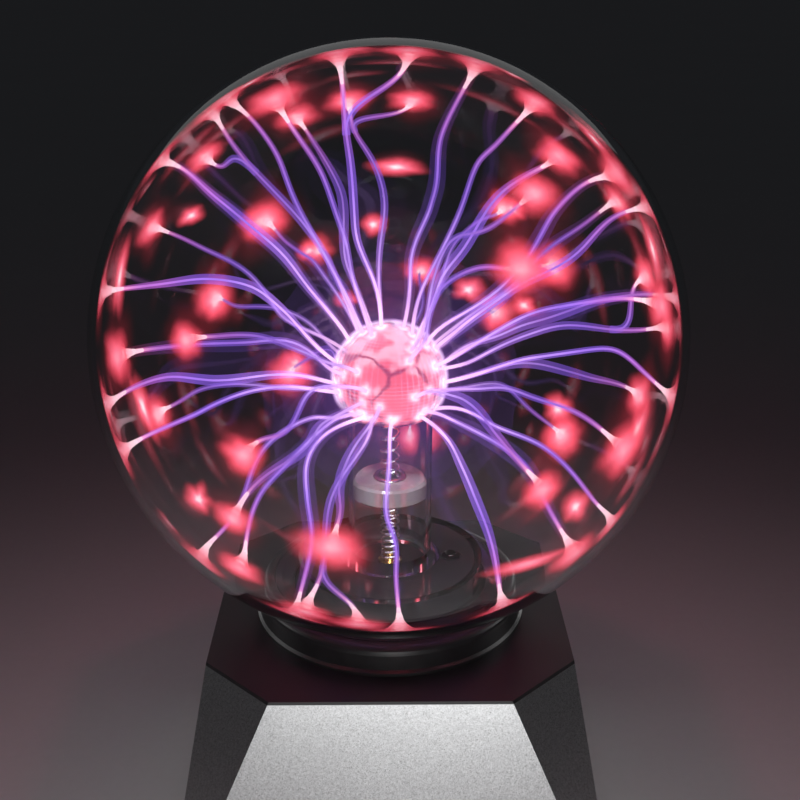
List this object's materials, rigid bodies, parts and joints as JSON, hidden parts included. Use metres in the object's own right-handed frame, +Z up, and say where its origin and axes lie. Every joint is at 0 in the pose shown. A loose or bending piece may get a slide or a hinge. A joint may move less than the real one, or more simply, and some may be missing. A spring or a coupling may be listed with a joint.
{
  "type": "plasma ball",
  "caption": "Desk plasma ball: clear gas-filled globe with a central electrode, in a round collar on a tapered square base with cut top corners that holds the driver board.",
  "frame": {"origin": "centre of the footprint, on the surface the feet stand on", "axes": "+Z up through the globe and the stem, -Y towards the front, +Y out of the face with the power socket and the switch"},
  "size_m": [0.152, 0.152, 0.2202],
  "materials": {
    "clear_glass": "clear polished",
    "steel_wool": "coated, matte",
    "spring_steel": "bright",
    "white_plastic": "matte",
    "brass": "bright",
    "black_moulding": "matte",
    "seal_rubber": "matte",
    "black_gloss": "high gloss",
    "silver_paint": "fine metallic satin",
    "foot_rubber": "matte",
    "zinc_steel": "zinc plated",
    "board_green": "solder mask",
    "ferrite": "matte ceramic",
    "copper_wire": "enamelled",
    "potting": "cast resin",
    "red_silicone": "matte",
    "aluminium": "as extruded",
    "component_black": "moulded",
    "capacitor_sleeve": "shrink sleeve",
    "resistor_coat": "lacquer",
    "film_dip": "dipped",
    "trimmer_blue": "moulded",
    "header_nylon": "nylon",
    "mic_can": "drawn",
    "grey_wire": "insulated",
    "yellow_wire": "insulated",
    "knob_plastic": "matte",
    "nickel": "plated"
  },
  "bodies": {
    "ball": {"globe": "clear_glass", "electrode_stem": "clear_glass", "exhaust_tip": "clear_glass", "electrode_core": "steel_wool", "contact_spring": "spring_steel", "stem_bushing": "white_plastic", "spring_eyelet": "nickel", "contact_pin": "brass", "neck_plug": "black_moulding", "seat_gasket": "seal_rubber", "collar": "black_gloss", "top_cover": "black_gloss", "collar_screws": "zinc_steel", "cover_screws": "zinc_steel", "base_shell": "silver_paint", "bottom_plate": "black_moulding", "feet": "foot_rubber", "bottom_screws": "zinc_steel", "circuit_board": "board_green", "board_screws": "zinc_steel", "transformer_core": "ferrite", "primary_winding": "copper_wire", "high_voltage_coil": "potting", "hv_lead": "red_silicone", "heat_sink": "aluminium", "power_transistor": "component_black", "filter_capacitors": "capacitor_sleeve", "timer_chip": "component_black", "resistors": "resistor_coat", "film_capacitor": "film_dip", "trimmer_body": "trimmer_blue", "microphone": "mic_can", "microphone_grommet": "seal_rubber", "microphone_leads": "grey_wire", "switch_body": "component_black", "switch_frame": "zinc_steel", "switch_leads": "yellow_wire", "power_socket": "component_black", "socket_pin": "nickel", "power_leads": "red_silicone", "board_header": "header_nylon"},
    "knob": {"switch_knob": "knob_plastic"},
    "rotor": {"trimmer_rotor": "white_plastic"}
  },
  "joints": [
    {"name": "switch_slide", "type": "slide", "parent": "ball", "child": "knob", "axis": [1, 0, 0], "range_m": [-0.003, 0.003]},
    {"name": "trimmer_turn", "type": "hinge", "parent": "ball", "child": "rotor", "pos_m": [-0.028, 0.019, 0.0175], "axis": [0, 0, 1], "range_deg": [-135, 135]}
  ]
}
